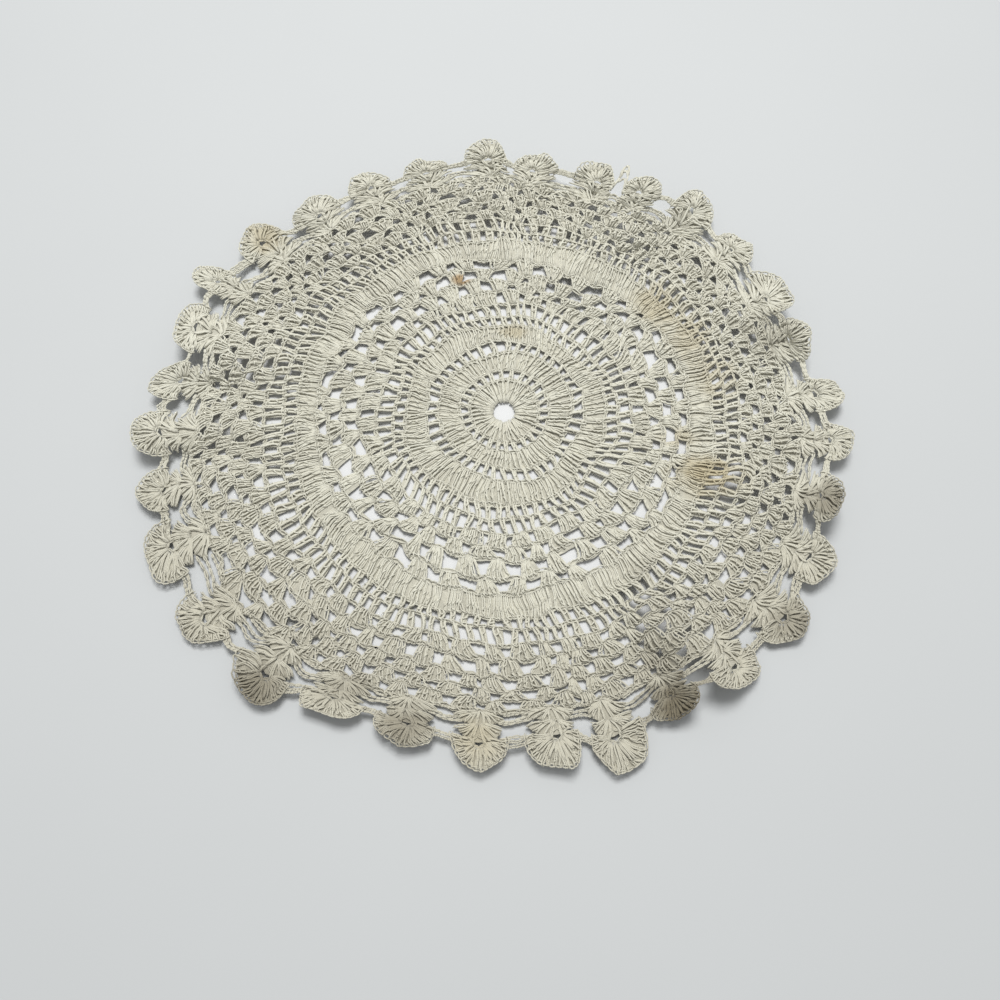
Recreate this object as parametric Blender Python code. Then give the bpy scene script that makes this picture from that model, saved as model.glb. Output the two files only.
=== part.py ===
"""Lace doily: one round piece of crocheted cotton, lying as it was dropped on a flat surface.

The middle lies flat. The outer rounds rise in a few soft folds, and each fan of the border sits
at its own bearing, reach and lift. Z is up, and the underside of the flat middle is at Z = 0.
A place on the cloth is given in the cloth's own terms: a share of the way from the hub to a fan's
tip, and a bearing in even steps from fan to fan. drape() turns that into a place in space.
"""

import math
from collections import namedtuple

import bpy
import numpy as np
from mathutils import Vector
from mathutils.geometry import delaunay_2d_cdt

MM = 0.001

# Driving sizes, in metres
RADIUS = 140 * MM  # hub to the tip of an even fan
THICKNESS = 1.8 * MM
HUB = (4.5 * MM, 4.3 * MM)  # the hub's place, with the whole outline's box about the origin
DRAW_POINT = (3 * MM, -150.7 * MM)  # where lifted cloth leans in to
DRAW_LIFT = 297 * MM  # the lift that would bring it all the way there

# Shares of RADIUS
HUB_HOLE = 0.0225
BORDER_START = 0.83
VALLEY = 0.938  # the outer edge between two fans
FAN_ROOT = 0.932  # centre of a fan's round edge
FAN_ROUND = 0.068  # radius of a fan's round edge

# Counts
EDGE_POINTS = 9  # along one fan's round edge
GAP_POINTS = 8  # round one gap
HUB_POINTS = 16

COTTON = (0.585, 0.565, 0.49, 1.0)

# The border's fans, anticlockwise from +X: where each lies, how far it reaches from the hub and
# how high its tip stands. Bearings are in degrees and the rest in millimetres.
Fan = namedtuple("Fan", "bearing reach lift")
FANS = (
    Fan(3, 134, 4),
    Fan(16, 129, 9),
    Fan(26, 131, 5),
    Fan(38, 132, 4),
    Fan(51, 138, 4),
    Fan(61, 135, 6),
    Fan(70, 134, 7),
    Fan(84, 133, 5),
    Fan(93, 140, 6),
    Fan(106, 134, 4),
    Fan(118, 136, 4),
    Fan(130, 134, 3),
    Fan(142, 139, 3),
    Fan(153, 145, 6),
    Fan(163, 140, 4),
    Fan(174, 140, 5),
    Fan(184, 145, 4),
    Fan(194, 143, 3),
    Fan(205, 144, 2),
    Fan(218, 144, 2),
    Fan(231, 142, 3),
    Fan(242, 131, 5),
    Fan(254, 132, 6),
    Fan(266, 137, 4),
    Fan(278, 137, 7),
    Fan(287, 141, 3),
    Fan(298, 132, 6),
    Fan(309, 136, 3),
    Fan(320, 137, 3),
    Fan(332, 136, 4),
    Fan(343, 133, 8),
    Fan(354, 135, 4),
)
PITCH = 360 / len(FANS)

# The soft folds of the outer rounds: the bearing of each crest and the half width to its foot, in
# degrees, the shares of RADIUS where it starts to rise and is full, and its height in millimetres.
Fold = namedtuple("Fold", "bearing width start full height")
FOLDS = (
    Fold(22, 13, 0.60, 0.98, 5),
    Fold(62, 17, 0.36, 0.95, 9),
    Fold(97, 22, 0.52, 0.95, 6),
    Fold(128, 14, 0.55, 0.90, 3),
    Fold(167, 9, 0.45, 0.85, 5),
    Fold(184, 6, 0.60, 0.90, 4),
    Fold(228, 8, 0.66, 0.80, 2),
    Fold(301, 9, 0.42, 0.90, 7),
    Fold(342, 9, 0.45, 0.62, 3),
    Fold(356, 10, 0.62, 0.98, 4),
)

# The gaps between two fans' stems, each crossed by the next round's chain: the share of RADIUS of
# its middle, and its half length along the round and half height across it in millimetres.
Gap = namedtuple("Gap", "share half_length half_height")
GAPS = (
    Gap(0.862, 5.0, 1.7),
    Gap(0.908, 5.8, 2.4),
)

# The rings of points that carry the folds: the share of RADIUS of each and its count of points.
Ring = namedtuple("Ring", "share count")
RINGS = (
    Ring(0.08, 16),
    Ring(0.19, 32),
    Ring(0.34, 48),
    Ring(0.44, 64),
    Ring(0.53, 64),
    Ring(0.61, 96),
    Ring(0.69, 96),
    Ring(0.76, 96),
    Ring(BORDER_START, 128),
)


def clear_scene():
    for obj in list(bpy.data.objects):
        bpy.data.objects.remove(obj)


def ease(value, start, end):
    """0 up to start, 1 from end, and a smooth S between them."""
    t = np.clip((value - start) / (end - start), 0.0, 1.0)
    return t * t * (3.0 - 2.0 * t)


def between_fans(bearing, values):
    """A value held at each fan and eased from one fan to the next by half a cosine wave."""
    step = (bearing / PITCH) % len(FANS)
    first = np.floor(step).astype(int) % len(FANS)
    part = 0.5 - 0.5 * np.cos(np.pi * (step - np.floor(step)))
    values = np.asarray(values, float)
    return values[first] * (1 - part) + values[(first + 1) % len(FANS)] * part


def fold_lift(share, bearing):
    """The folds' heights added up, each a cosine-squared crest that rises on its way outwards."""
    lift = np.zeros_like(share)
    for fold in FOLDS:
        aside = (bearing - fold.bearing + 180) % 360 - 180
        crest = np.cos(np.clip(aside / fold.width, -1, 1) * np.pi / 2) ** 2
        lift = lift + crest * ease(share, fold.start, fold.full) * fold.height * MM
    return lift


def drape(share, even_bearing):
    """Places in space of the underside, from shares of RADIUS and even bearings in degrees."""
    wander = [fan.bearing - step * PITCH for step, fan in enumerate(FANS)]
    bearing = even_bearing + ease(share, 0.1, 0.9) * between_fans(even_bearing, wander)
    reach = between_fans(even_bearing, [fan.reach * MM / RADIUS for fan in FANS])
    radius = RADIUS * share * (1 + ease(share, 0.7, 1.0) * (reach - 1))
    tip_lift = between_fans(even_bearing, [fan.lift * MM for fan in FANS])
    height = fold_lift(share, bearing) + ease(share, 0.84, 1.0) * tip_lift
    angle = np.radians(bearing)
    across = HUB[0] + radius * np.cos(angle)
    along = HUB[1] + radius * np.sin(angle)
    lean = height / DRAW_LIFT
    across = across + lean * (DRAW_POINT[0] - across)
    along = along + lean * (DRAW_POINT[1] - along)
    return np.stack([across, along, height], axis=-1)


def ring(share, count, turn=0.0):
    """Even points on a ring, as (share, bearing) rows."""
    steps = np.arange(count)
    return np.stack([np.full(count, share), (steps + turn) * 360 / count], axis=-1)


def scalloped_edge():
    """The outer edge: a round arc for each fan, and one low point between each two."""
    half = math.asin(math.sqrt(FAN_ROUND**2 - (VALLEY - FAN_ROOT) ** 2) / VALLEY)
    aside = np.linspace(-0.94, 0.94, EDGE_POINTS) * half
    across = FAN_ROOT * np.sin(aside)
    arc = FAN_ROOT * np.cos(aside) + np.sqrt(FAN_ROUND**2 - across**2)
    rows = []
    for step in range(len(FANS)):
        fan = np.stack([arc, step * PITCH + np.degrees(aside)], axis=-1)
        valley = [[VALLEY, (step + 0.5) * PITCH]]
        rows += [fan, valley]
    return np.concatenate(rows)


def gap_edge(gap, step):
    """A long oval between fan number step and the next."""
    turn = np.arange(GAP_POINTS) * 2 * np.pi / GAP_POINTS
    share = gap.share + gap.half_height * MM / RADIUS * np.sin(turn)
    aside = np.degrees(gap.half_length * MM / (gap.share * RADIUS)) * np.cos(turn)
    return np.stack([share, (step + 0.5) * PITCH - aside], axis=-1)


def flat(rows):
    """Rows of (share, bearing) as points of the flat worked piece, in shares of RADIUS."""
    angle = np.radians(rows[:, 1])
    return np.stack([rows[:, 0] * np.cos(angle), rows[:, 0] * np.sin(angle)], axis=-1)


def stem_points():
    """Points down the middle of each fan and across its stem, inside the border."""
    rows = []
    for step in range(len(FANS)):
        middle = step * PITCH
        rows += [(share, middle) for share in (0.885, 0.925, 0.962)]
        rows += [(0.945, middle - 2.2), (0.945, middle + 2.2)]
    return np.array(rows)


def lace_triangles():
    """The flat piece cut into triangles, without the hub hole and the gaps: rows and triples."""
    holes = [ring(HUB_HOLE, HUB_POINTS)]
    holes += [gap_edge(gap, step) for step in range(len(FANS)) for gap in GAPS]
    inner = [ring(row.share, row.count) for row in RINGS] + [stem_points()]
    groups = [scalloped_edge()] + holes + inner
    starts = np.concatenate([[0], np.cumsum([len(group) for group in groups])])
    loops = [list(range(starts[i], starts[i + 1])) for i in range(1 + len(holes))]
    points = [Vector(point) for point in flat(np.concatenate(groups))]
    found, _, faces, _, _, inside = delaunay_2d_cdt(points, [], loops, 1, 1e-6)
    kept = [face for face, owners in zip(faces, inside) if owners == [0]]
    return np.array([tuple(point) for point in found]), kept


def make_cotton():
    material = bpy.data.materials.new("ecru_cotton")
    material.use_nodes = True
    shader = material.node_tree.nodes["Principled BSDF"]
    shader.inputs["Base Color"].default_value = COTTON
    shader.inputs["Roughness"].default_value = 0.9
    shader.inputs["Metallic"].default_value = 0.0
    return material


def make_doily():
    points, faces = lace_triangles()
    share = np.hypot(points[:, 0], points[:, 1])
    bearing = np.degrees(np.arctan2(points[:, 1], points[:, 0])) % 360
    mesh = bpy.data.meshes.new("doily")
    mesh.from_pydata(drape(share, bearing).tolist(), [], faces)
    mesh.materials.append(make_cotton())
    doily = bpy.data.objects.new("doily", mesh)
    bpy.context.scene.collection.objects.link(doily)
    # The worked surface above is the underside, and the lace's thickness stands on it.
    body = doily.modifiers.new("thickness", "SOLIDIFY")
    body.thickness = THICKNESS
    body.offset = 1.0
    return doily


clear_scene()
make_doily()
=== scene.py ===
"""Lace doily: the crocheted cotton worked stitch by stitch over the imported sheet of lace.

Every stitch is drawn first on the flat worked piece, in metres from the hub, as the middle line of
its yarn. lay() then lifts those lines onto the doily as it lies, and yarn_mesh() gives them their
thickness. A thin felted web joins the stitches of each round, as the yarn's hidden turns do.
"""

from collections import namedtuple

import bpy
import numpy as np
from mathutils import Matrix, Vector


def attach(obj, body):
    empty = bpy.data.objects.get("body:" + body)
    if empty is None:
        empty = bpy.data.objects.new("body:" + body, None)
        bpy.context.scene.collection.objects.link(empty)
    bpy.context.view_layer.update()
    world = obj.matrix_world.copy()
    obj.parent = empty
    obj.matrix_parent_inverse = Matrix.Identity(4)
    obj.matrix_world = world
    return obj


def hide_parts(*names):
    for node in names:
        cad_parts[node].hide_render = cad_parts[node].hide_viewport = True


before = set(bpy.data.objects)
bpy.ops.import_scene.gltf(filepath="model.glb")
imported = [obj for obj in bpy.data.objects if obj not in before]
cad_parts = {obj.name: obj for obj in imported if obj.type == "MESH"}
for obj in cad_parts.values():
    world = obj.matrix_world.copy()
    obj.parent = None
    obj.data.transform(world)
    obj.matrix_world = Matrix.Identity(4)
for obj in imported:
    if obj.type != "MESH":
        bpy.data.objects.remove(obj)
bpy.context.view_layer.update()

bl_info = {
    "name": "Lace Doily",
    "version": (1, 0, 0),
    "blender": (4, 5, 0),
    "location": "View3D > Sidebar > Lace Doily",
    "description": "Works a crocheted cotton doily with a border of fans, stitch by stitch",
    "category": "Add Mesh",
}

MM = 0.001
NODE = "doily"

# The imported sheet's own sizes, in metres: hub to an even fan's tip, the hub's place, and where
# lifted cloth leans in to and the lift that would bring it there.
RADIUS = 140 * MM
HUB = np.array([4.5, 4.3]) * MM
DRAW_POINT = np.array([3.0, -150.7]) * MM
DRAW_LIFT = 297 * MM

# The border's fans, anticlockwise from +X: bearing in degrees, reach, tip's lift and waist in
# millimetres, the waist being where the rounds end below the fan, and how wide the fan is against
# an even one.
Fan = namedtuple("Fan", "bearing reach lift waist wide")
FANS = (
    Fan(3, 135, 4, 113, 0.85),
    Fan(16, 130, 9, 113, 0.90),
    Fan(26, 132, 5, 113, 1.05),
    Fan(38, 133, 4, 114, 1.05),
    Fan(51, 139, 4, 114, 0.95),
    Fan(61, 133, 6, 114, 0.85),
    Fan(70, 131, 7, 112, 0.95),
    Fan(84, 130, 5, 113, 1.00),
    Fan(93, 139, 6, 117, 1.05),
    Fan(106, 132, 4, 116, 1.00),
    Fan(118, 133, 4, 115, 1.00),
    Fan(130, 135, 3, 115, 1.00),
    Fan(142, 140, 3, 117, 1.00),
    Fan(153, 146, 6, 119, 0.62),
    Fan(163, 141, 4, 119, 1.15),
    Fan(174, 141, 5, 119, 0.95),
    Fan(184, 146, 4, 120, 1.00),
    Fan(194, 144, 3, 122, 0.90),
    Fan(205, 145, 2, 122, 1.00),
    Fan(218, 145, 1, 122, 1.05),
    Fan(231, 143, 2, 121, 1.00),
    Fan(242, 132, 5, 118, 1.10),
    Fan(254, 132, 4, 116, 1.05),
    Fan(266, 134, 3, 116, 1.05),
    Fan(278, 136, 4, 116, 1.00),
    Fan(287, 141, 2, 117, 1.00),
    Fan(298, 133, 4, 116, 1.05),
    Fan(309, 136, 1, 117, 0.90),
    Fan(320, 138, 2, 117, 1.05),
    Fan(332, 137, 4, 117, 1.05),
    Fan(343, 134, 8, 116, 0.95),
    Fan(354, 136, 4, 115, 1.00),
)
PITCH = 360 / len(FANS)

# How far in degrees each fan lies off its even place.
WANDER = [fan.bearing - step * PITCH for step, fan in enumerate(FANS)]

# The soft folds: bearing of the crest and half width to its foot in degrees, the shares of RADIUS
# where it starts to rise and is full, and its height in millimetres.
Fold = namedtuple("Fold", "bearing width start full height")
FOLDS = (
    Fold(22, 13, 0.60, 0.98, 4),
    Fold(62, 17, 0.36, 0.95, 9),
    Fold(97, 22, 0.52, 0.95, 6),
    Fold(128, 14, 0.55, 0.90, 3),
    Fold(167, 9, 0.45, 0.85, 5),
    Fold(184, 6, 0.60, 0.90, 4),
    Fold(228, 8, 0.66, 0.80, 2),
    Fold(304, 8, 0.42, 0.85, 9),
    Fold(342, 9, 0.45, 0.62, 3),
    Fold(356, 10, 0.62, 0.98, 2),
)

# The rounds from the hub outwards. repeats is how often the round's pattern comes, stitches the
# tall stitches in one repeat, start and top the shares of RADIUS at their feet and their tops,
# foot and head how much of a repeat the feet and the heads spread over, arch how far in
# millimetres a shell's top falls off to its sides, links the chain stitches that join it to the
# next, and turn the repeat's start, in repeats.
Round = namedtuple("Round", "group repeats stitches start top foot head arch links turn")
ROUNDS = (
    Round("hub", 40, 1, 0.035, 0.098, 0.0, 0.0, 0.0, 0, 0.0),
    Round("hub", 28, 1, 0.098, 0.128, 0.0, 0.0, 0.0, 1, 0.2),
    Round("hub", 28, 3, 0.128, 0.184, 0.667, 0.667, 0.2, 0, 0.5),
    Round("hub", 44, 1, 0.184, 0.220, 0.0, 0.0, 0.0, 1, 0.0),
    Round("hub", 44, 3, 0.220, 0.281, 0.667, 0.667, 0.2, 0, 0.5),
    Round("lattice", 72, 1, 0.281, 0.313, 0.0, 0.0, 0.0, 1, 0.0),
    Round("lattice", 72, 1, 0.313, 0.357, 0.0, 0.0, 0.0, 1, 0.5),
    Round("lattice", 36, 5, 0.357, 0.402, 0.66, 0.74, 0.5, 1, 0.5),
    Round("lattice", 36, 5, 0.402, 0.446, 0.44, 0.67, 0.8, 1, 0.0),
    Round("lattice", 36, 5, 0.446, 0.490, 0.38, 0.61, 0.8, 1, 0.5),
    Round("lattice", 36, 5, 0.490, 0.526, 0.35, 0.57, 0.7, 2, 0.0),
    Round("band", 36, 9, 0.526, 0.588, 0.889, 0.889, 0.0, 0, 0.5),
    Round("band", 128, 1, 0.588, 0.628, 0.0, 0.0, 0.0, 1, 0.0),
    Round("band", 128, 1, 0.628, 0.674, 0.0, 0.0, 0.0, 1, 0.45),
    Round("clusters", 64, 4, 0.674, 0.714, 0.46, 0.66, 0.9, 1, 0.5),
    Round("clusters", 64, 4, 0.714, 0.753, 0.46, 0.66, 0.9, 1, 0.0),
    Round("clusters", 64, 4, 0.753, 0.791, 0.46, 0.66, 0.9, 1, 0.5),
    Round("outer_clusters", 64, 4, 0.791, 0.827, 0.46, 0.66, 0.9, 1, 0.0),
    Round("outer_clusters", 64, 4, 0.827, 0.861, 0.46, 0.70, 0.7, 1, 0.5),
)
BODY_TOP = ROUNDS[-1].top

# A round whose arch is above this is worked in separate shells, each a little off its place.
SHELL_ARCH = 0.4

# How much wider than round a fan is drawn, and a stem where the cotton lies flat and by how much
# more where it is bunched up.
FAN_WIDE = 1.2
STEM_WIDE = 1.35
STEM_BUNCHED = 0.35

# Where the cotton lies most bunched up, a bearing in degrees.
BUNCHED = 70

# The stems and fans of the border, each worked round an eye on its fan's own line: the share of
# RADIUS of the eye, the radii in millimetres at the feet and the tops, half the angle in degrees
# that they open to and half the angle left open in their middle, the count of stitches, and the
# chain stitches along their tops.
Spray = namedtuple("Spray", "group eye foot top opening parted stitches tops")
SPRAYS = (
    Spray("stems", 0.858, 1.0, 5.6, 66, 3, 10, 0),
    Spray("stems", 0.892, 1.0, 5.3, 72, 5, 10, 0),
    Spray("fans", 0.929, 2.4, 6.2, 98, 0, 18, 0),
    Spray("rims", 0.929, 6.3, 8.2, 95, 0, 18, 16),
)

# The chains that join two neighbouring fans' sprays: which spray, the angle in degrees off its
# fan's line and the radius in millimetres where a chain leaves it, how far it bows outwards, by
# how much that differs from one place to the next, and how much further it bows in the one gap
# where the chains stand out as a loose loop.
LOOSE_GAP = 5
Link = namedtuple("Link", "spray leaving radius bow loose loop")
LINKS = (
    Link(0, 58, 5.4, 0.4, 0.3, 1.5),
    Link(0, 42, 5.9, 0.3, 0.3, 2.0),
    Link(0, 82, 5.0, 0.2, 0.3, 0.5),
    Link(1, 44, 6.4, 0.2, 0.4, 7.0),
    Link(3, 93, 8.2, 0.2, 0.4, 14.0),
    Link(3, 84, 8.4, -0.2, 0.4, 10.0),
)

# Places where the rounds are pulled in or out: bearing and half width in degrees, the share of
# RADIUS and the spread about it, and how far inwards in millimetres.
Pull = namedtuple("Pull", "bearing width share spread inwards")
PULLS = (
    Pull(68, 26, 0.49, 0.09, 4.5),
    Pull(60, 80, 0.17, 0.09, -1.7),
    Pull(230, 80, 0.17, 0.09, 1.5),
)

# Waves of chance over the flat piece. A drift moves places sideways: its length in metres, seed
# and reach in millimetres. A puff raises the cotton: its length and seed, how far it is shifted up
# before what lies below nothing is cut off, and its height in millimetres where the piece lies
# flat and by how much more where it is bunched.
DRIFTS = ((0.036, 11, 1.05), (0.013, 13, 0.52))
PUFFS = ((0.027, 15, 0.6, 0.25, 0.55), (0.012, 16, 0.5, 0.22, 0.35))
BORDER_SEED = 77
WEB_SEED = 5

# A tall stitch, in millimetres. By chance its foot and head stray, its middle bows and snakes to a
# side and it lies higher or lower. It stands at one height at its ends and another in its middle,
# more where it is bunched, and it runs on past its ends. Its turns stand off the middle line by a
# share of the gap to the next stitch, within limits.
FOOT_STRAY, HEAD_STRAY, BOW, SNAKE, LEVEL = 0.15, 0.18, 0.20, 0.16, 0.13
ENDS_HEIGHT, MIDDLE_HEIGHT, BUNCHED_HEIGHT, RUN_ON = 1.05, 1.25, 0.35, 1.3
TURN_SHARE, FOOT_LEAST, HEAD_LEAST, TURN_MOST = 0.25, 0.14, 0.25, 0.85

# A shell by chance: how far it strays round, in repeats, and outwards, in shares of RADIUS, and
# how much more or less it opens. A mesh round's posts slant by a share of a repeat.
SHELL_STRAY, SHELL_OUT, SHELL_OPEN = 0.05, 0.0022, 0.10
POST_SLANT = 0.08


def ease(value, start, end):
    """0 up to start, 1 from end, and a smooth S between them."""
    t = np.clip((value - start) / (end - start), 0.0, 1.0)
    return t * t * (3.0 - 2.0 * t)


def unit(vectors):
    """The vectors at length 1."""
    return vectors / np.maximum(np.linalg.norm(vectors, axis=-1, keepdims=True), 1e-12)


def between_fans(bearing, values):
    """A value held at each fan and eased from one fan to the next by half a cosine wave."""
    step = (bearing / PITCH) % len(FANS)
    first = np.floor(step).astype(int) % len(FANS)
    part = 0.5 - 0.5 * np.cos(np.pi * (step - np.floor(step)))
    values = np.asarray(values, float)
    return values[first] * (1 - part) + values[(first + 1) % len(FANS)] * part


def fold_lift(share, bearing):
    """The folds' heights added up, each a cosine-squared crest that rises on its way outwards."""
    lift = np.zeros_like(share)
    for fold in FOLDS:
        aside = (bearing - fold.bearing + 180) % 360 - 180
        crest = np.cos(np.clip(aside / fold.width, -1, 1) * np.pi / 2) ** 2
        lift = lift + crest * ease(share, fold.start, fold.full) * fold.height * MM
    return lift


def even_of(bearing, share):
    """The even bearing that drape turns to a bearing, found by taking its shift off four times."""
    even = bearing
    for _ in range(4):
        even = bearing - float(ease(share, 0.1, 0.9) * between_fans(np.array(even), WANDER))
    return even


def drape(share, even_bearing):
    """Places in space of the underside, from shares of RADIUS and even bearings in degrees. The
    rounds close in towards each fan's waist, where the body ends, and open again to its reach."""
    bearing = even_bearing + ease(share, 0.1, 0.9) * between_fans(even_bearing, WANDER)
    waist = between_fans(even_bearing, [fan.waist * MM - RADIUS * BODY_TOP for fan in FANS])
    reach = between_fans(even_bearing, [fan.reach * MM - RADIUS for fan in FANS])
    outer = ease(share, BODY_TOP, 1.0)
    radius = RADIUS * share + ease(share, 0.56, BODY_TOP) * (1 - outer) * waist + outer * reach
    for pull in PULLS:
        aside = (even_bearing - pull.bearing + 180) % 360 - 180
        crest = np.cos(np.clip(aside / pull.width, -1, 1) * np.pi / 2) ** 2
        radius = radius - crest * np.exp(-(((share - pull.share) / pull.spread) ** 2)) * pull.inwards * MM
    tip_lift = between_fans(even_bearing, [fan.lift * MM for fan in FANS])
    height = fold_lift(share, bearing) + ease(share, 0.84, 1.0) * tip_lift
    angle = np.radians(bearing)
    across = HUB[0] + radius * np.cos(angle)
    along = HUB[1] + radius * np.sin(angle)
    lean = height / DRAW_LIFT
    across = across + lean * (DRAW_POINT[0] - across)
    along = along + lean * (DRAW_POINT[1] - along)
    return np.stack([across, along, height], axis=-1)


def ripples(points, length, seed, count=6):
    """A smooth field over the flat piece: waves of about one length, each in a chance direction."""
    chance = np.random.default_rng(seed)
    turn = chance.uniform(0, 2 * np.pi, count)
    pace = 2 * np.pi / length * chance.uniform(0.75, 1.35, count)
    start = chance.uniform(0, 2 * np.pi, count)
    phase = points[..., 0, None] * (pace * np.cos(turn)) + points[..., 1, None] * (pace * np.sin(turn))
    return np.sin(phase + start).sum(axis=-1) / np.sqrt(count)


def bearing_of(flat):
    """Bearings in degrees of flat places."""
    return np.degrees(np.arctan2(flat[..., 1], flat[..., 0])) % 360


def underside(flat):
    """The draped underside at points of the flat piece."""
    return drape(np.hypot(flat[..., 0], flat[..., 1]) / RADIUS, bearing_of(flat))


def slack(flat):
    """How loose and crowded the cotton lies: 1 towards BUNCHED, where the rounds are bunched up
    and raised, and 0 opposite, where the piece lies flat and open, by half a cosine wave."""
    share = np.hypot(flat[..., 0], flat[..., 1]) / RADIUS
    return (0.5 + 0.5 * np.cos(np.radians(bearing_of(flat) - BUNCHED))) * ease(share, 0.25, 0.75)


def lay(points):
    """Points of the flat piece, with their height as third column, lifted onto the doily as it
    lies. Each place wanders by chance as handwork does, by a slow wave and a quick one, then
    stands off the underside along the surface's normal, the cross product of two small steps. Two
    more waves puff it up, most where the cotton is bunched."""
    share = np.hypot(points[..., 0], points[..., 1]) / RADIUS
    loose = ease(share, 0.03, 0.25)[..., None] * MM
    wander, swell = 0.0, 0.0
    for length, seed, reach in DRIFTS:
        ways = [ripples(points, length, seed), ripples(points, length, seed + 1)]
        wander = wander + np.stack(ways, axis=-1) * reach
    for length, seed, raised, least, more in PUFFS:
        crest = np.maximum(ripples(points, length, seed) + raised, 0)
        swell = swell + crest * (least + more * slack(points))
    flat = points[..., :2] + wander * loose
    step = 0.8 * MM
    base = underside(flat)
    ahead = underside(flat + np.array([step, 0.0])) - base
    beside = underside(flat + np.array([0.0, step])) - base
    normal = unit(np.cross(ahead, beside))
    return base + normal * (points[..., 2] + swell * loose[..., 0])[..., None]


def lines(flat, height):
    """Middle lines of yarn: flat places and heights joined into rows of three numbers."""
    height = np.broadcast_to(height, flat.shape[:-1])
    return np.concatenate([flat, height[..., None]], axis=-1)


def polar(share, degrees):
    """Flat places from shares of RADIUS and bearings in degrees."""
    angle = np.radians(degrees)
    return np.stack([np.cos(angle), np.sin(angle)], axis=-1) * (np.asarray(share) * RADIUS)[..., None]


def square_to(along):
    """Flat directions turned a quarter turn anticlockwise."""
    return np.stack([-along[..., 1], along[..., 0]], axis=-1)


def tall_stitches(foot, head, gaps, sizes, chance):
    """Tall stitches from their feet to their heads, gaps being how far apart neighbours are at
    the feet and at the heads, and how far each is raised. Each is two turns of yarn either side
    of a bowed middle line: their offset across is the cosine and their rise the sine of an angle
    that grows evenly from foot to head. Two short turns, the yarns over, cross both on opposite
    slants."""
    count = len(foot)
    foot = foot + chance.normal(0, FOOT_STRAY * MM, foot.shape)
    head = head + chance.normal(0, HEAD_STRAY * MM, head.shape)
    along = unit(head - foot)
    across = square_to(along)
    length = np.linalg.norm(head - foot, axis=-1)[:, None]
    bow = chance.normal(0, BOW * MM, (count, 1))
    snake = chance.normal(0, SNAKE * MM, (count, 1))
    level = chance.normal(0, LEVEL * MM, (count, 1))
    foot_width = np.clip(gaps[:, :1] * TURN_SHARE, FOOT_LEAST * MM, TURN_MOST * MM)
    head_width = np.clip(gaps[:, 1:2] * TURN_SHARE, HEAD_LEAST * MM, TURN_MOST * MM)
    height = (MIDDLE_HEIGHT + BUNCHED_HEIGHT * slack((foot + head) / 2))[:, None] * MM + gaps[:, 2:]
    ends = ENDS_HEIGHT * MM

    def middle(part):
        """Reach along, offset aside and rise of the middle line at parts of its length."""
        reach = (part - 0.5) * (length + RUN_ON * MM) + 0.5 * length
        aside = bow * np.sin(np.pi * part) + snake * np.sin(2 * np.pi * part)
        rise = level + ends + (height - ends) * np.sin(np.pi * np.clip(part, 0, 1))
        return reach, aside, rise

    part = np.linspace(0.0, 1.0, sizes.stitch_rings)[None, :]
    spread = foot_width * (1 - part) + head_width * part
    start = chance.uniform(-0.32, 0.05, (count, 1)) * np.pi
    twist = chance.choice([-1.0, 1.0], (count, 1)) * chance.uniform(0.2, 0.55, (count, 1)) * np.pi
    winding = start + twist * part
    reach, aside, rise = middle(part)

    def placed(reach, off):
        """Flat places that far along the stitch and that far across it."""
        return foot[:, None] + along[:, None] * reach[..., None] + across[:, None] * off[..., None]

    turns = []
    for side in (0.0, np.pi):
        off = aside + spread * np.cos(winding + side)
        turns.append(lines(placed(reach, off), rise + 0.5 * spread * np.sin(winding + side)))
    part = np.linspace(0.0, 1.0, 4)[None, :]
    overs = []
    for place_on, side in ((0.72, 1.0), (0.34, -1.0)):
        reach, aside, rise = middle(place_on + chance.uniform(-0.1, 0.12, (count, 1)) + 0.24 * part)
        sweep = aside + side * (foot_width + head_width) * 0.75 * (2 * part - 1)
        lift = rise + (0.75 * np.sin(np.pi * part) - 0.05) * sizes.yarn
        overs.append(lines(placed(reach, sweep), lift))
    return np.concatenate(turns), np.concatenate(overs)


def chain(route, height, chance, width, tilt=0.0):
    """Chain stitches along routes of places, one to each step. A chain stitch is a narrow loop:
    two legs of yarn that leave the step's start together, part to half the width in millimetres
    either side and close again past the step's end, inside the next loop. Tilt raises the legs on
    the left of the route and lowers those on its right, in millimetres."""
    start = route[..., :-1, :].reshape(-1, 2)
    step = route[..., 1:, :].reshape(-1, 2) - start
    count = len(start)
    along = unit(step)
    across = square_to(along)
    part = np.array([-0.14, 0.28, 0.72, 1.16])
    middle = start[:, None] + step[:, None] * part[None, :, None]
    parting = np.array([0.10, 0.80, 1.0, 0.25]) * width * MM * chance.uniform(0.8, 1.2, (count, 1))
    tilt = tilt * MM + chance.normal(0, 0.10 * MM, (count, 1))
    rise = height + np.array([[-0.20, 0.02, 0.20, -0.05]]) * MM + chance.normal(0, 0.07 * MM, (count, 1))
    slip = chance.normal(0, 0.09 * MM, (count, 1))
    legs = []
    for side in (-1.0, 1.0):
        aside = side * parting + slip
        legs.append(lines(middle + across[:, None] * aside[..., None], rise + side * tilt))
    return np.concatenate(legs)


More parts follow.
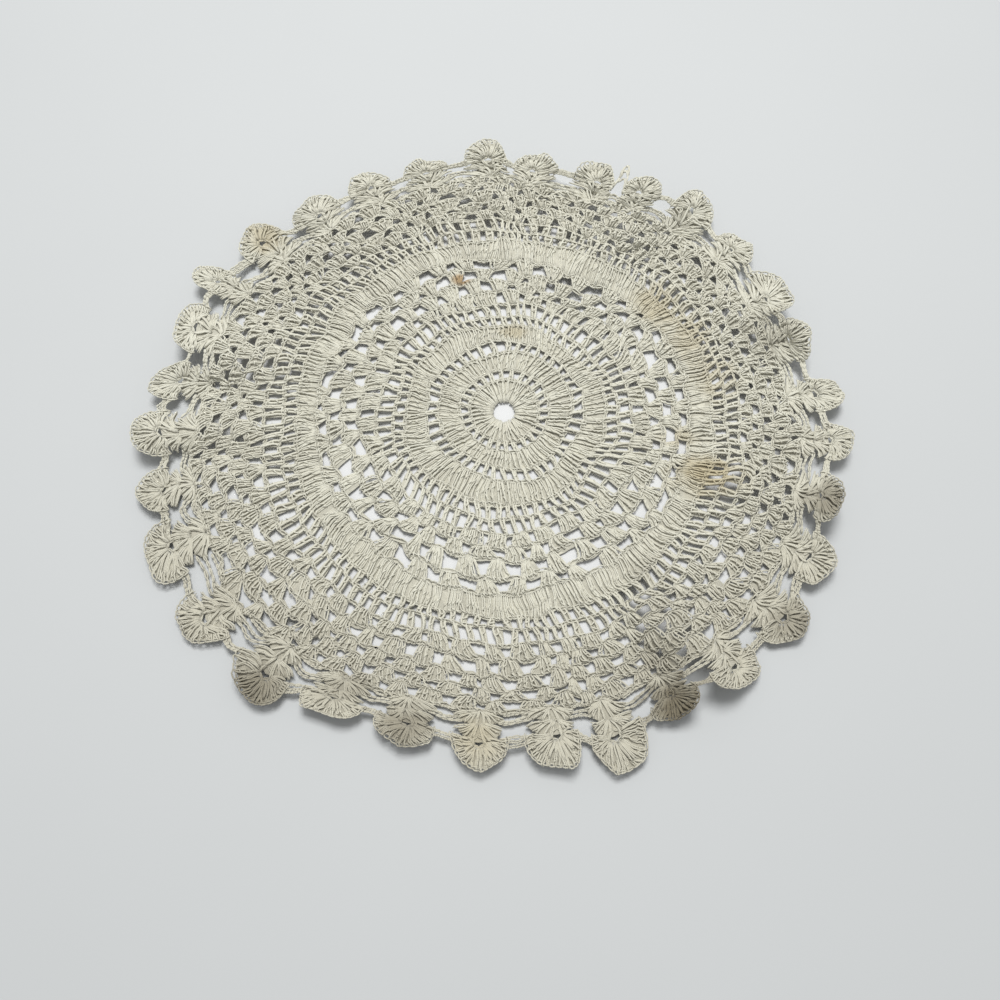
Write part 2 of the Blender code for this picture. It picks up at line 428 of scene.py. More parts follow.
def round_posts(row, chance):
    """Feet, heads and gaps of one round's tall stitches, as flat places in rows of a repeat, and
    the route of the chain along their tops. Shells stray and open by chance, their middles stand
    up by a parabola, and the posts of a mesh round slant a little."""
    width = 360 / row.repeats
    centre = (np.arange(row.repeats) + row.turn) * width
    step_out = np.zeros(row.repeats)
    shell = row.arch > SHELL_ARCH
    if shell:
        centre = centre + chance.normal(0, SHELL_STRAY * width, row.repeats)
        step_out = chance.normal(0, SHELL_OUT, row.repeats)
    at = polar(np.full(row.repeats, row.top), centre)
    spot = np.linspace(-0.5, 0.5, row.stitches) if row.stitches > 1 else np.zeros(1)
    crowd = slack(at) if shell or row.links else np.zeros(row.repeats)
    ease_out = np.ones(row.repeats)
    if shell:
        ease_out = 1 + 0.08 * ripples(at, 0.03, 41) + chance.normal(0, SHELL_OPEN, row.repeats)
    open_foot = row.foot * ease_out * (0.88 + 0.12 * crowd)
    open_head = row.head * (0.5 + 0.5 * ease_out) * (0.98 + 0.18 * crowd)
    slant = POST_SLANT if row.stitches == 1 and row.links else 0.0
    lean = (ripples(at, 0.05, 31)[:, None] * 0.05 + slant) * width
    foot = centre[:, None] + spot[None, :] * open_foot[:, None] * width
    head = centre[:, None] + spot[None, :] * open_head[:, None] * width + lean
    fall = row.arch * MM / RADIUS
    foot_share = row.start + 0.5 * step_out[:, None] + 0.5 * fall * (2 * spot[None, :]) ** 2
    head_share = row.top + step_out[:, None] - fall * (2 * spot[None, :]) ** 2
    circle = 2 * np.pi * RADIUS / row.repeats
    if row.stitches > 1:
        near = open_foot * circle * row.start / (row.stitches - 1)
        far = open_head * circle * row.top / (row.stitches - 1)
    else:
        post = (1.85 + 1.6 * row.start + 0.9 * crowd) * MM
        near = post if row.links else np.full(row.repeats, circle * row.start)
        far = post if row.links else np.full(row.repeats, circle * row.top)
    bulge = 0.4 + 0.7 * crowd[:, None]
    raised = (bulge * (1 - (2 * spot[None, :]) ** 2) - 0.1) * MM * shell
    raised = raised + chance.normal(0, 0.12 * MM, (row.repeats, 1)) * (row.stitches > 1)
    gaps = np.stack(np.broadcast_arrays(near[:, None], far[:, None], raised), axis=-1).reshape(-1, 3)
    edge = 0.5 * open_head + 0.5 * far / (circle * row.top)
    along = np.linspace(-1, 1, row.stitches + 1)
    route = centre[:, None] + along[None, :] * edge[:, None] * width + lean
    share = row.top + step_out[:, None] - fall * along[None, :] ** 2
    if row.links > 1:
        last = route[:, -1:]
        onward = np.roll(route[:, :1], -1, axis=0)
        onward[-1] += 360
        between = np.linspace(0, 1, row.links + 1)[None, 1:-1]
        route = np.concatenate([route, last + (onward - last) * between], axis=1)
        linked = np.full((row.repeats, row.links - 1), row.top - 1.2 * fall)
        share = np.concatenate([share, linked], axis=1)
    if row.links == 0 and row.stitches > 1:
        route, share = route[:, :-1], share[:, :-1]
    route = np.append(route.ravel(), route[0, 0] + 360)
    share = np.append(share.ravel(), share[0, 0])
    share = share + 0.0016 * ripples(polar(share, route), 0.006, 51)
    return polar(foot_share, foot), polar(head_share, head), gaps, polar(share, route)


def yarn_mesh(name, groups, sizes, chance):
    """Yarn as closed tubes, from groups of paths, each with its thickness. A ring of the tube is
    its middle point plus the radius times the cosine and sine of an even angle along the two
    directions square to the path, and the end rings are drawn in. U runs once round the yarn and
    V is the length along it in metres."""
    sides = sizes.yarn_sides
    points, walls, caps, wall_uv, tones = [], [], [], [], []
    filled = 0
    for paths, thickness in groups:
        count, rings = paths.shape[:2]
        ahead = unit(np.gradient(paths, axis=1))
        side = unit(np.cross(ahead, np.array([0.0, 0.0, 1.0])))
        up = np.cross(side, ahead)
        angle = np.arange(sides) * 2 * np.pi / sides + np.pi / sides
        swell = np.ones(rings)
        swell[[0, -1]] = 0.6
        thick = 0.5 * thickness * swell[None, :] * chance.uniform(0.9, 1.1, (count, rings))
        offset = side[:, :, None] * np.cos(angle)[:, None] + up[:, :, None] * np.sin(angle)[:, None]
        points.append((paths[:, :, None] + offset * thick[:, :, None, None]).reshape(-1, 3))
        index = np.arange(count * rings * sides).reshape(count, rings, sides) + filled
        near, far = index[:, :-1], index[:, 1:]
        near_next, far_next = np.roll(near, -1, 2), np.roll(far, -1, 2)
        walls.append(np.stack([near, near_next, far_next, far], axis=-1).reshape(-1, 4))
        caps.append(np.concatenate([index[:, 0, ::-1], index[:, -1]]))
        length = np.linalg.norm(np.diff(paths, axis=1), axis=-1)
        run = np.concatenate([np.zeros((count, 1)), np.cumsum(length, axis=1)], axis=1)
        run = run + chance.uniform(0, 0.01, (count, 1))
        u = np.broadcast_to(np.arange(sides) / sides, (count, rings - 1, sides))
        v = np.broadcast_to(run[:, :, None], (count, rings, sides))
        wall_u = np.stack([u, u + 1 / sides, u + 1 / sides, u], axis=-1).reshape(-1)
        wall_v = np.stack([v[:, :-1], v[:, :-1], v[:, 1:], v[:, 1:]], axis=-1).reshape(-1)
        wall_uv.append(np.stack([wall_u, wall_v], axis=-1))
        tones.append(np.repeat(chance.uniform(0, 1, count), rings * sides))
        filled += count * rings * sides
    mesh = mesh_from(name, np.concatenate(points), [np.concatenate(walls), np.concatenate(caps)])
    uv = np.zeros((len(mesh.loops), 2), np.float32)
    wall_uv = np.concatenate(wall_uv)
    uv[: len(wall_uv)] = wall_uv
    mesh.uv_layers.new(name="yarn").data.foreach_set("uv", uv.ravel())
    tones = np.concatenate(tones).astype(np.float32)
    mesh.attributes.new("tone_and_web_shade", "FLOAT", "POINT").data.foreach_set("value", tones)
    return mesh


def mesh_from(name, points, face_groups):
    """A smooth-shaded mesh from points and arrays of faces, one array for each count of sides."""
    mesh = bpy.data.meshes.new(name)
    corners = np.concatenate([faces.reshape(-1) for faces in face_groups])
    sizes = np.concatenate([np.full(len(faces), faces.shape[1]) for faces in face_groups])
    mesh.vertices.add(len(points))
    mesh.vertices.foreach_set("co", points.astype(np.float32).ravel())
    mesh.loops.add(len(corners))
    mesh.loops.foreach_set("vertex_index", corners.astype(np.int32))
    mesh.polygons.add(len(sizes))
    mesh.polygons.foreach_set("loop_start", (np.cumsum(sizes) - sizes).astype(np.int32))
    mesh.update(calc_edges=True)
    mesh.shade_smooth()
    return mesh


def add_object(name, data):
    """A mesh, a light or a camera put into the scene."""
    added = bpy.data.objects.new(name, data)
    bpy.context.scene.collection.objects.link(added)
    return added


def place(name, mesh, material):
    """A finished piece at the origin, in its cotton, riding with the doily."""
    if not mesh.polygons:
        raise RuntimeError(f"{name} came out with no faces")
    piece = add_object(name, mesh)
    mesh.materials.append(material)
    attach(piece, "root")
    return piece


def group_seed(name):
    """The seed of one group of stitches: the sum of its letters' numbers."""
    return sum(ord(letter) for letter in name)


def work_group(name, groups, sizes, chance):
    """Lays one group's yarn on the doily and makes it a piece."""
    laid = [(lay(paths), thickness) for paths, thickness in groups]
    return place(name, yarn_mesh(name, laid, sizes, chance), cotton())


def work_rounds(group, sizes):
    """The tall stitches and the top chains of one group of rounds."""
    chance = np.random.default_rng(group_seed(group))
    legs, posts, overs, tops = [], [], [], []
    for row in ROUNDS:
        if row.group != group:
            continue
        foot, head, gaps, route = round_posts(row, chance)
        turns, over = tall_stitches(foot.reshape(-1, 2), head.reshape(-1, 2), gaps, sizes, chance)
        if row.stitches == 1 and row.links:
            posts.append(turns)
        else:
            legs.append(turns)
        overs.append(over)
        height = (1.0 + 0.3 * slack((route[1:] + route[:-1]) / 2))[:, None] * MM
        tops.append(chain(route, height, chance, 0.6, 0.12))
    stitches = [(np.concatenate(overs), 0.9 * sizes.yarn)]
    if legs:
        stitches.append((np.concatenate(legs), sizes.yarn))
    if posts:
        stitches.append((np.concatenate(posts), 1.4 * sizes.yarn))
    work_group(group + "_stitches", stitches, sizes, chance)
    work_group(group + "_chains", [(np.concatenate(tops), 0.85 * sizes.yarn)], sizes, chance)


def fan_frames():
    """Each fan's outward and sideways directions on the flat piece, the sideways one as long as
    the fan is wide."""
    middle = np.radians(np.arange(len(FANS)) * PITCH)
    outward = np.stack([np.cos(middle), np.sin(middle)], axis=-1)
    sideways = square_to(outward) * FAN_WIDE * np.array([fan.wide for fan in FANS])[:, None]
    return outward, sideways


def openings(spray):
    """The angles of a spray's stitches off its fan's line, in radians, the middle left open."""
    angle = np.linspace(-1, 1, spray.stitches)
    return np.radians(angle * (spray.opening - spray.parted) + np.sign(angle) * spray.parted)


def about_eye(spray, angle, radius):
    """Flat places round every fan's eye, one row a fan, at angles in radians off the fan's line
    and radii in metres: the radius times the cosine outwards and times the sine sideways. A fan
    is drawn a trace fuller halfway round each side."""
    outward, sideways = fan_frames()
    eye = outward * spray.eye * RADIUS
    if spray.group == "stems":
        sideways = sideways * (STEM_WIDE + STEM_BUNCHED * slack(eye))[:, None]
    else:
        radius = radius * (1 + 0.015 * np.sin(2 * angle) ** 2)
    across, along = np.sin(angle) * radius, np.cos(angle) * radius
    along = outward[:, None] * along[None, :, None]
    return eye[:, None] + along + sideways[:, None] * across[None, :, None]


def work_border(sizes):
    """Stems, fans and their rims, and the chains between them."""
    chance = np.random.default_rng(BORDER_SEED)
    tops, joins = [], []
    for group in ("stems", "fans", "rims"):
        legs, overs = [], []
        for spray in SPRAYS:
            if spray.group != group:
                continue
            angle = openings(spray)
            short = 1 - 0.05 * (angle / angle.max()) ** 2
            foot = about_eye(spray, angle, spray.foot * MM * np.ones_like(angle))
            head = about_eye(spray, angle, spray.top * MM * short)
            step = 2 * np.radians(spray.opening) / (spray.stitches - 1) * MM
            foot, head = foot.reshape(-1, 2), head.reshape(-1, 2)
            gaps = np.tile([[spray.foot * step, spray.top * step, 0.1 * MM]], (len(foot), 1))
            turns, over = tall_stitches(foot, head, gaps, sizes, chance)
            legs.append(turns)
            overs.append(over[:: 2 if group == "stems" else 5])
            if not spray.tops:
                continue
            angle = np.radians(np.linspace(-spray.opening - 5, spray.opening + 5, spray.tops + 1))
            short = 1 - 0.05 * (angle / angle.max()) ** 2
            rim = about_eye(spray, angle[::-1], (spray.top + 0.25) * MM * short)
            tops.append(chain(rim, 1.15 * MM, chance, 0.5, 0.2))
        stitches = [(np.concatenate(legs), sizes.yarn), (np.concatenate(overs), 0.72 * sizes.yarn)]
        work_group(group + "_stitches", stitches, sizes, chance)
    eye = np.radians(np.linspace(0, 360, 7))
    tops.append(chain(about_eye(SPRAYS[2], eye, np.full(7, 1.75 * MM)), 0.9 * MM, chance, 0.25))
    for link in LINKS:
        spray = SPRAYS[link.spray]
        side = np.radians(np.array([link.leaving, -link.leaving]))
        ends = about_eye(spray, side, np.full(2, link.radius * MM))
        one, two = ends[:, 0], np.roll(ends[:, 1], -1, axis=0)
        part = np.linspace(0, 1, 6)[None, :, None]
        bow = (link.bow + link.loose * chance.normal(0, 1, (len(FANS), 1, 1))) * MM
        bow[LOOSE_GAP] += link.loop * MM
        bowed = unit(one + two)[:, None] * 4 * part * (1 - part) * bow
        route = one[:, None] + (two - one)[:, None] * part + bowed
        joins.append(chain(route, 0.75 * MM, chance, 0.3))
    work_group("border_chains", [(np.concatenate(tops), 0.85 * sizes.yarn)], sizes, chance)
    work_group("link_chains", [(np.concatenate(joins), 0.95 * sizes.yarn)], sizes, chance)


def grid_faces(count, rows, columns, first):
    """Four-sided faces of a stack of grids of points, numbered from first."""
    index = np.arange(count * rows * columns).reshape(count, rows, columns) + first
    quads = np.stack([index[:, :-1, :-1], index[:, 1:, :-1], index[:, 1:, 1:], index[:, :-1, 1:]], -1)
    return quads.reshape(-1, 4)


def make_web():
    """A thin felted sheet under the stitches: for each shell, post, stem and fan a patch from its
    feet to its heads, for a full round one ring, and a narrow band under each top chain. It takes
    the darkest tone of the cotton, as painted shade in the gaps between the stitches."""
    chance = np.random.default_rng(WEB_SEED)
    grids = []
    part = np.linspace(0, 1, 4)[None, None, :, None]
    dome = np.array([0.65, 0.8, 0.8, 0.65]) * MM
    for row in ROUNDS:
        foot, head, gaps, route = round_posts(row, chance)
        if row.links == 0:
            foot = np.append(foot.reshape(-1, 2), foot.reshape(-1, 2)[:1], axis=0)[None]
            head = np.append(head.reshape(-1, 2), head.reshape(-1, 2)[:1], axis=0)[None]
        raised = 0.1 if row.arch > SHELL_ARCH else -0.05
        if row.stitches == 1 and row.links:
            across = square_to(unit(head - foot)) * np.array([[-1.0], [1.0]]) * 0.38 * gaps[:, None, :1]
            foot, head = foot + across, head + across
        patch = foot[:, :, None] + (head - foot)[:, :, None] * part
        grids.append(lines(patch, dome + (raised + 0.25 * slack(patch)) * MM))
        outward = unit(route)[:, None] * np.array([-0.7 * MM, 0.7 * MM])[None, :, None]
        grids.append(lines(route[:, None] + outward, 0.8 * MM)[None])
    for spray in SPRAYS[:3]:
        angle = np.radians(np.linspace(-spray.opening, spray.opening, 9))
        under_rim = 1.8 if spray.group == "fans" else 0.0
        foot = about_eye(spray, angle, np.full(9, spray.foot * MM))
        head = about_eye(spray, angle, np.full(9, (spray.top + under_rim) * MM))
        grids.append(lines(foot[:, :, None] + (head - foot)[:, :, None] * part, dome))
    faces = []
    first = 0
    for grid in grids:
        faces.append(grid_faces(*grid.shape[:3], first))
        first += grid[..., 0].size
    points = np.concatenate([lay(grid).reshape(-1, 3) for grid in grids])
    mesh = mesh_from("web", points, [np.concatenate(faces)])
    mesh.flip_normals()
    mesh.uv_layers.new(name="yarn")
    # Painted shade: the web always takes the darkest tone, to darken the gaps between the stitches.
    tones = np.ones(len(points), np.float32)
    mesh.attributes.new("tone_and_web_shade", "FLOAT", "POINT").data.foreach_set("value", tones)
    web = place("web", mesh, cotton())
    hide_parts(NODE)


# --- materials -------------------------------------------------------------------------------


def node_group(name, inputs, outputs):
    """An empty shader group with its named sockets, and its input and output nodes."""
    group = bpy.data.node_groups.new(name, "ShaderNodeTree")
    for label, kind, default in inputs:
        socket = group.interface.new_socket(name=label, in_out="INPUT", socket_type=kind)
        if default is not None:
            socket.default_value = default
    for label, kind in outputs:
        group.interface.new_socket(name=label, in_out="OUTPUT", socket_type=kind)
    return group, group.nodes.new("NodeGroupInput"), group.nodes.new("NodeGroupOutput")


def feed(tree, node, values):
    """Links a node's inputs to other nodes' results, or sets them to plain values."""
    for label, value in values.items():
        if isinstance(value, bpy.types.NodeSocket):
            tree.links.new(value, node.inputs[label])
        elif value is not None:
            node.inputs[label].default_value = value


def math_node(tree, operation, first, second=None):
    """The result of a Math node fed by sockets or numbers."""
    node = tree.nodes.new("ShaderNodeMath")
    node.operation = operation
    feed(tree, node, {0: first, 1: second})
    return node.outputs[0]


def vector_node(tree, operation, first, second=None):
    """A Vector Math node fed by sockets or vectors."""
    node = tree.nodes.new("ShaderNodeVectorMath")
    node.operation = operation
    feed(tree, node, {0: first, 1: second})
    return node


def map_range(tree, value, start, end, low=0.0, high=1.0, easing="SMOOTHSTEP"):
    """The value carried from start..end to low..high, eased at both ends or straight."""
    node = tree.nodes.new("ShaderNodeMapRange")
    node.interpolation_type = easing
    feed(tree, node, {"Value": value, "From Min": start, "From Max": end, "To Min": low, "To Max": high})
    return node.outputs[0]


def noise(tree, vector, scale, detail=2.0):
    """The value of a noise at a scale per metre."""
    node = tree.nodes.new("ShaderNodeTexNoise")
    feed(tree, node, {"Vector": vector, "Scale": scale, "Detail": detail})
    return node.outputs[0]


def ply_group():
    """Height of plied yarn: a sine of turns along the yarn plus turns round it."""
    if "Ply Twist" in bpy.data.node_groups:
        return bpy.data.node_groups["Ply Twist"]
    group, given, result = node_group(
        "Ply Twist",
        [
            ("UV", "NodeSocketVector", None),
            ("Lay", "NodeSocketFloat", 0.0016),
            ("Plies", "NodeSocketFloat", 3.0),
        ],
        [("Height", "NodeSocketFloat")],
    )
    split = group.nodes.new("ShaderNodeSeparateXYZ")
    group.links.new(given.outputs["UV"], split.inputs[0])
    along = math_node(group, "DIVIDE", split.outputs[1], given.outputs["Lay"])
    around = math_node(group, "ADD", along, split.outputs[0])
    plies = math_node(group, "MULTIPLY", around, given.outputs["Plies"])
    wave = math_node(group, "SINE", math_node(group, "MULTIPLY", plies, 2 * np.pi))
    group.links.new(math_node(group, "MULTIPLY_ADD", wave, 0.5), result.inputs["Height"])
    return group


def stain_and_shade_group():
    """Mask of one patch of stain or of painted shade: 1 inside a blurred ellipse whose edge a noise makes
    ragged.
    """
    if "Stain And Shade Patch" in bpy.data.node_groups:
        return bpy.data.node_groups["Stain And Shade Patch"]
    group, given, result = node_group(
        "Stain And Shade Patch",
        [
            ("Vector", "NodeSocketVector", None),
            ("Centre", "NodeSocketVector", None),
            ("Reach", "NodeSocketVector", (0.01, 0.01, 1.0)),
            ("Ragged", "NodeSocketFloat", 0.5),
        ],
        [("Mask", "NodeSocketFloat")],
    )
    shift = vector_node(group, "SUBTRACT", given.outputs["Vector"], given.outputs["Centre"])
    shrink = vector_node(group, "DIVIDE", shift.outputs[0], given.outputs["Reach"])
    far = vector_node(group, "LENGTH", shrink.outputs[0])
    rag = math_node(group, "SUBTRACT", noise(group, given.outputs["Vector"], 160.0, 3.0), 0.5)
    rag = math_node(group, "MULTIPLY", rag, given.outputs["Ragged"])
    edge = math_node(group, "ADD", far.outputs["Value"], rag)
    group.links.new(map_range(group, edge, 1.0, 0.2), result.inputs["Mask"])
    return group


# Stains of age and use, and three patches of painted shade: bearing in degrees and share of
# RADIUS of the middle, reach across and along in millimetres, strength, and colour. The three
# brown patches at 300 to 309 degrees lie along the lower right fold and are partly a brownish
# stain and partly painted shade of the fold.
Stain = namedtuple("Stain", "bearing share across along strength colour")
RUST = (0.36, 0.20, 0.045)
TAN = (0.44, 0.36, 0.19)
# Brown of the stains, and of the painted shade along the lower right fold.
BROWN_STAIN_AND_SHADE = (0.17, 0.145, 0.095)
STAINS_AND_SHADE = (
    Stain(106, 0.455, 6.0, 3.5, 0.72, RUST),
    Stain(84, 0.26, 9.0, 4.5, 0.45, TAN),
    Stain(341, 0.59, 18.0, 11.0, 0.66, TAN),
    Stain(350, 0.49, 10.0, 6.0, 0.35, TAN),
    Stain(38, 0.57, 14.0, 14.0, 0.42, TAN),
    Stain(24, 0.59, 13.0, 16.0, 0.36, TAN),
    Stain(10, 0.61, 12.0, 16.0, 0.30, TAN),
    Stain(141, 0.95, 12.0, 10.0, 0.45, TAN),
    Stain(266, 0.93, 12.0, 12.0, 0.30, TAN),
    Stain(343, 0.965, 14.0, 12.0, 0.66, BROWN_STAIN_AND_SHADE),
    Stain(254, 0.94, 14.0, 11.0, 0.58, BROWN_STAIN_AND_SHADE),
    Stain(298, 0.965, 19.0, 13.0, 0.95, BROWN_STAIN_AND_SHADE),
    # These three: partly a brownish stain, partly painted shade along the fold at 304 degrees.
    Stain(300, 0.83, 15.0, 12.0, 0.30, BROWN_STAIN_AND_SHADE),
    Stain(306, 0.70, 12.0, 15.0, 0.12, BROWN_STAIN_AND_SHADE),
    Stain(309, 0.60, 12.0, 9.0, 0.18, BROWN_STAIN_AND_SHADE),
    Stain(231, 0.97, 17.0, 14.0, 0.70, BROWN_STAIN_AND_SHADE),
    Stain(321, 0.975, 15.0, 11.0, 0.50, BROWN_STAIN_AND_SHADE),
    Stain(18, 0.86, 14.0, 15.0, 0.24, BROWN_STAIN_AND_SHADE),
    Stain(243, 0.88, 16.0, 9.0, 0.30, BROWN_STAIN_AND_SHADE),
    Stain(197, 0.94, 13.0, 16.0, 0.10, BROWN_STAIN_AND_SHADE),
)


def mix_colour(tree, factor, first, second):
    """The result of a colour mix fed by sockets or plain colours. A Mix node's colours are its
    inputs 6 and 7 and its output 2."""
    node = tree.nodes.new("ShaderNodeMix")
    node.data_type = "RGBA"
    feed(tree, node, {0: factor, 6: first, 7: second})
    return node.outputs[2]


def round_hub(tree, vector, outside, inside):
    """A mask by distance in metres from the hub, 0 at outside and 1 at inside, eased between."""
    shift = vector_node(tree, "SUBTRACT", vector, (*HUB, 0.0))
    far = vector_node(tree, "LENGTH", shift.outputs[0])
    return map_range(tree, far.outputs["Value"], outside, inside)


def cotton():
    """The doily's matt ecru cotton: two tones by a slow noise, each length of yarn a little
    lighter or darker and the web darkest of all as painted shade between the stitches, painted
    shade towards the near rim, the stains over them all, three of them partly painted shade along a
    fold, and the yarn's twist, loose fibres and lumps as bump."""
    if "ecru_cotton" in bpy.data.materials:
        return bpy.data.materials["ecru_cotton"]
    colours = bpy.context.scene.doily_colours
    material = bpy.data.materials.new("ecru_cotton")
    material.use_nodes = True
    tree = material.node_tree
    shader = tree.nodes["Principled BSDF"]
    spot_on = tree.nodes.new("ShaderNodeTexCoord").outputs["Object"]
    cloud = noise(tree, spot_on, 26.0, 4.0)
    colour = mix_colour(tree, cloud, (*colours.cotton, 1.0), (*colours.shade, 1.0))
    # Each length of yarn a chance tone darker, and the web the darkest, as painted shade between the
    # stitches.
    tone_and_web_shade = tree.nodes.new("ShaderNodeAttribute")
    tone_and_web_shade.attribute_name = "tone_and_web_shade"
    darker = math_node(tree, "MULTIPLY", tone_and_web_shade.outputs["Fac"], 0.34)
    colour = mix_colour(tree, darker, colour, (*colours.dark_tone_and_shade, 1.0))
    # Painted shade: the outer rounds and the border darken towards -Y, the side nearest the camera.
    rim = round_hub(tree, spot_on, 0.060, 0.132)
    split = tree.nodes.new("ShaderNodeSeparateXYZ")
    tree.links.new(spot_on, split.inputs[0])
    near = map_range(tree, split.outputs[1], 0.01, -0.08, 0.0, 0.55, "LINEAR")
    near_painted_shade = math_node(tree, "MULTIPLY", rim, near)
    colour = mix_colour(tree, near_painted_shade, colour, (*colours.dark_tone_and_shade, 1.0))
    for stain in STAINS_AND_SHADE:
        spot = tree.nodes.new("ShaderNodeGroup")
        spot.node_tree = stain_and_shade_group()
        centre = underside(polar(np.array(stain.share), even_of(stain.bearing, stain.share)))
        reach = (stain.across * MM, stain.along * MM, 1.0)
        feed(tree, spot, {"Vector": spot_on, "Centre": tuple(centre), "Reach": reach, "Ragged": 0.9})
        mask = math_node(tree, "MULTIPLY", spot.outputs["Mask"], stain.strength)
        colour = mix_colour(tree, mask, colour, (*stain.colour, 1.0))
    twist = tree.nodes.new("ShaderNodeGroup")
    twist.node_tree = ply_group()
    along = tree.nodes.new("ShaderNodeUVMap")
    along.uv_map = "yarn"
    feed(tree, twist, {"UV": along.outputs[0]})
    fibres = math_node(tree, "MULTIPLY", noise(tree, spot_on, 2600.0), 0.8)
    lumps = math_node(tree, "MULTIPLY", noise(tree, spot_on, 1100.0), 3.0)
    height = math_node(tree, "ADD", math_node(tree, "ADD", twist.outputs[0], fibres), lumps)
    bump = tree.nodes.new("ShaderNodeBump")
    feed(tree, bump, {"Height": height, "Strength": 0.6, "Distance": 0.16 * MM})
    feed(tree, shader, {"Base Color": colour, "Normal": bump.outputs[0], "Roughness": 0.92})
    feed(tree, shader, {"Specular IOR Level": 0.15, "Sheen Weight": 0.15, "Sheen Roughness": 0.6})
    return material


def floor_material():
    """A pale matt table top with the faintest mottle, and painted light under the doily: paler there, to
    brighten its openings.
    """
    colours = bpy.context.scene.doily_colours
    material = bpy.data.materials.new("pale_table_top")
    material.use_nodes = True
    tree = material.node_tree
    shader = tree.nodes["Principled BSDF"]
    spot_on = tree.nodes.new("ShaderNodeTexCoord").outputs["Object"]
    dim = [0.97 * value for value in colours.floor]
    colour = mix_colour(tree, noise(tree, spot_on, 9.0), (*colours.floor, 1.0), (*dim, 1.0))
    # Painted light: the top is paler under the doily, brightening the openings between the stitches.
    painted_light_patch = round_hub(tree, spot_on, 0.128, 0.105)
    colour = mix_colour(tree, painted_light_patch, colour, (*colours.painted_light_patch, 1.0))
    feed(tree, shader, {"Base Color": colour, "Roughness": 0.55, "Specular IOR Level": 0.2})
    return material


# --- settings --------------------------------------------------------------------------------


class DoilySizes(bpy.types.PropertyGroup):
    """The yarn and how finely it is drawn"""

    yarn: bpy.props.FloatProperty(
        name="Yarn", description="Thickness of the crochet cotton", default=0.72 * MM, unit="LENGTH"
    )
    stitch_rings: bpy.props.IntProperty(
        name="Stitch rings", description="Rings along one turn of a tall stitch", default=6, min=4
    )
    yarn_sides: bpy.props.IntProperty(
        name="Yarn sides", description="Sides of the yarn's tube", default=4, min=3
    )


def tint(name, description, default):
    """A setting that is a colour."""
    return bpy.props.FloatVectorProperty(
        name=name, description=description, default=default, subtype="COLOR"
    )


class DoilyColours(bpy.types.PropertyGroup):
    """The colours of the cotton and of the table top"""

    cotton: tint("Cotton", "Ecru cotton where it is cleanest", (0.71, 0.70, 0.60))
    shade: tint("Shade", "Ecru cotton where it has yellowed", (0.65, 0.635, 0.53))
    # Dark tone of single lengths of yarn, and painted shade towards the near rim and in the web.
    dark_tone_and_shade: tint("Dark tone and shade", "Tone that darkens single lengths of yarn and the near rim", (0.45, 0.42, 0.33))
    floor: tint("Table top", "Pale top that it lies on", (0.495, 0.508, 0.508))
    # Painted light: a paler top under the doily, brightening its openings.
    painted_light_patch: tint("Painted light top", "Top under the doily, kept from dust", (0.62, 0.625, 0.622))


class DoilyStage(bpy.types.PropertyGroup):
    """The strengths of the lights"""

    window: bpy.props.FloatProperty(
        name="Window", description="Power of the broad light behind the doily", default=17.9, unit="POWER"
    )
    room: bpy.props.FloatProperty(
        name="Room", description="Strength of the light from all round", default=0.48
    )


# --- operators -------------------------------------------------------------------------------


class DOILY_OT_web(bpy.types.Operator):
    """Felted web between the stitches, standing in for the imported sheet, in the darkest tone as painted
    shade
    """

    bl_idname = "doily.web"
    bl_label = "Web"

    def execute(self, context):
        make_web()
        return {"FINISHED"}


class WorksRounds:
    """What the operators of the rounds share: each works its own groups of rounds"""

    def execute(self, context):
        for group in self.groups:
            work_rounds(group, context.scene.doily_sizes)
        return {"FINISHED"}


class DOILY_OT_hub(WorksRounds, bpy.types.Operator):
    """The dense rounds about the hub hole, with two rounds of open mesh"""

    bl_idname = "doily.hub"
    bl_label = "Hub rounds"
    groups = ("hub",)


class DOILY_OT_lattice(WorksRounds, bpy.types.Operator):
    """Two mesh rounds and four bricked rounds of shells with wide openings"""

    bl_idname = "doily.lattice"
    bl_label = "Lattice rounds"
    groups = ("lattice",)


class DOILY_OT_band(WorksRounds, bpy.types.Operator):
    """The dense band and the two mesh rounds outside it"""

    bl_idname = "doily.band"
    bl_label = "Band rounds"
    groups = ("band",)


class DOILY_OT_clusters(WorksRounds, bpy.types.Operator):
    """Bricked rounds of small clusters"""

    bl_idname = "doily.clusters"
    bl_label = "Cluster rounds"
    groups = ("clusters", "outer_clusters")


class DOILY_OT_border(bpy.types.Operator):
    """Stems, fans, the fans' rims and the chains that join them"""

    bl_idname = "doily.border"
    bl_label = "Border"

    def execute(self, context):
        work_border(context.scene.doily_sizes)
        return {"FINISHED"}


class DOILY_OT_stage(bpy.types.Operator):
    """Table top, soft light and camera"""

    bl_idname = "doily.stage"
    bl_label = "Stage"

    def execute(self, context):
        set_stage(context.scene.doily_stage)
        return {"FINISHED"}


OPERATORS = (
    DOILY_OT_stage,
    DOILY_OT_hub,
    DOILY_OT_lattice,
    DOILY_OT_band,
    DOILY_OT_clusters,
    DOILY_OT_border,
    DOILY_OT_web,
)


class DOILY_PT_panel(bpy.types.Panel):
    """The doily's pieces, sizes and colours in the 3D view's sidebar"""

    bl_label = "Lace Doily"
    bl_idname = "DOILY_PT_panel"
    bl_space_type = "VIEW_3D"
    bl_region_type = "UI"
    bl_category = "Lace Doily"

    def draw(self, context):
        for operator in OPERATORS:
            self.layout.operator(operator.bl_idname)
        for settings in SETTINGS:
            group = getattr(context.scene, settings)
            for name in group.__annotations__:
                self.layout.prop(group, name)


SETTINGS = {"doily_sizes": DoilySizes, "doily_colours": DoilyColours, "doily_stage": DoilyStage}
CLASSES = (*SETTINGS.values(), *OPERATORS, DOILY_PT_panel)


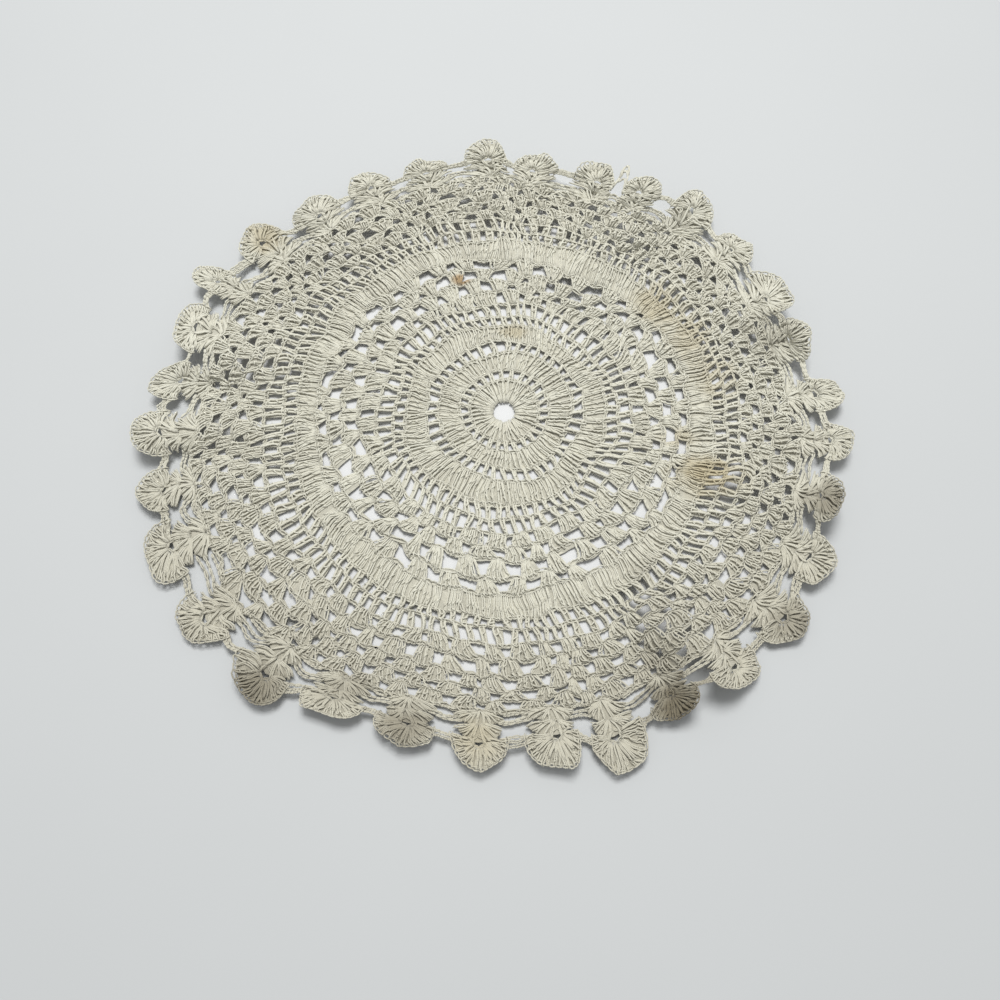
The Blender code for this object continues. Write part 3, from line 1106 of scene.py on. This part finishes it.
# The stage, in metres: half the table top's width and its level, and the window's place and size.
# The camera's place and the place it faces are shares of RADIUS off the hub, its lens millimetres.
TABLE_HALF = 3.0
TABLE_LEVEL = -0.2 * MM
WINDOW_AT = (0.0, 0.42, 1.25)
WINDOW_SIZE = 0.5
CAMERA_AT = (-0.0106, -1.1113, 2.1268)
CAMERA_FACES = (-0.0106, -0.2624, 0.0)
CAMERA_LENS = 30.6


def area_light(name, at, towards, size, power):
    """A soft square light at a place, facing another."""
    light = bpy.data.lights.new(name, "AREA")
    light.size = size
    light.energy = power
    lamp = add_object(name, light)
    lamp.location = at
    lamp.rotation_euler = look(np.array(at), np.array(towards))


def look(eye, target):
    """The turn that faces an object's -Z from one point to another with its top upwards."""
    return Vector(target - eye).to_track_quat("-Z", "Y").to_euler()


def set_stage(settings):
    """Table top under the doily, a broad light from behind, light from all round, and a camera."""
    corners = np.array([[-1, -1], [1, -1], [1, 1], [-1, 1]]) * TABLE_HALF
    mesh = mesh_from("table_top", lines(corners, TABLE_LEVEL), [np.array([[0, 1, 2, 3]])])
    mesh.materials.append(floor_material())
    floor = add_object("table_top", mesh)
    area_light("window", WINDOW_AT, (0.0, 0.0, 0.0), WINDOW_SIZE, settings.window)
    world = bpy.data.worlds.new("room")
    world.use_nodes = True
    background = world.node_tree.nodes["Background"]
    feed(world.node_tree, background, {"Color": (0.98, 0.99, 1.0, 1.0), "Strength": settings.room})
    bpy.context.scene.world = world
    bpy.context.scene.view_settings.view_transform = "Standard"
    camera = bpy.data.cameras.new("camera")
    camera.lens = CAMERA_LENS
    camera.sensor_width = 36.0
    eye = add_object("camera", camera)
    at, target = (np.append(HUB, 0.0) + RADIUS * np.array(spot) for spot in (CAMERA_AT, CAMERA_FACES))
    eye.location = at
    eye.rotation_euler = look(at, target)
    bpy.context.scene.camera = eye


def register():
    """Adds the classes and the scene's settings."""
    for cls in CLASSES:
        bpy.utils.register_class(cls)
    for name, group in SETTINGS.items():
        setattr(bpy.types.Scene, name, bpy.props.PointerProperty(type=group))


def unregister():
    """Takes away what register added."""
    for name in SETTINGS:
        delattr(bpy.types.Scene, name)
    for cls in reversed(CLASSES):
        bpy.utils.unregister_class(cls)


def main():
    """Builds every piece in order."""
    register()
    bpy.ops.doily.stage()
    bpy.ops.doily.hub()
    bpy.ops.doily.lattice()
    bpy.ops.doily.band()
    bpy.ops.doily.clusters()
    bpy.ops.doily.border()
    bpy.ops.doily.web()


if __name__ == "__main__":
    main()
